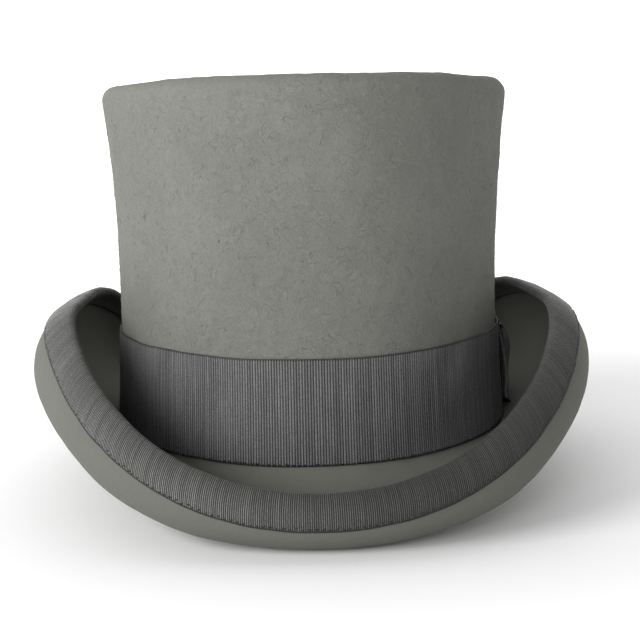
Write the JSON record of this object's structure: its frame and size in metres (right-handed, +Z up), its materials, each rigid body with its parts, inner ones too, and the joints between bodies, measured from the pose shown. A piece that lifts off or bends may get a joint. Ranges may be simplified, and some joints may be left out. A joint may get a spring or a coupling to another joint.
{
  "type": "top hat",
  "caption": "Stiff grey felt top hat: waisted oval crown, brim curled up at the sides, ribbed ribbon band with side bow, bound edge, leather sweatband and satin lining.",
  "frame": {"origin": "under the middle of the hat, on the plane that the brim's lowest front and back points stand on", "axes": "+Z up through the crown's tip; the front of the hat faces -Y; +X is the wearer's left, where the bow is"},
  "size_m": [0.2446, 0.3068, 0.1746],
  "materials": {
    "crown_felt": "grey wool felt with a short brushed nap, matte",
    "brim_felt": "denser, smoother olive-grey wool felt, matte",
    "band_ribbon": "slate grosgrain ribbon with upright ribs, soft sheen",
    "binding_ribbon": "grey grosgrain ribbon folded over the rim, ribs across the fold",
    "thread": "dark sewing thread",
    "sweatband_leather": "brown leather, lightly glossy",
    "lining_satin": "black satin",
    "wire": "plain steel wire",
    "reed": "round plastic reed in an oilcloth fold",
    "label": "blank size tag"
  },
  "bodies": {
    "root": {"crown_felt": "crown_felt", "brim_felt": "brim_felt", "hat_band": "band_ribbon", "bow_underlay": "band_ribbon", "bow_front_loop": "band_ribbon", "bow_back_loop": "band_ribbon", "bow_knot": "band_ribbon", "edge_binding": "binding_ribbon", "brim_wire": "wire", "wire_joiner": "wire", "band_stitches": "thread", "binding_stitches_outer": "thread", "binding_stitches_inner": "thread", "crown_seam_thread": "thread", "sweatband_stitches": "thread", "sweatband": "sweatband_leather", "sweatband_reed": "reed", "sweatband_bow": "band_ribbon", "lining_side": "lining_satin", "lining_tip": "lining_satin", "lining_piping": "lining_satin", "size_label": "label"}
  },
  "joints": []
}
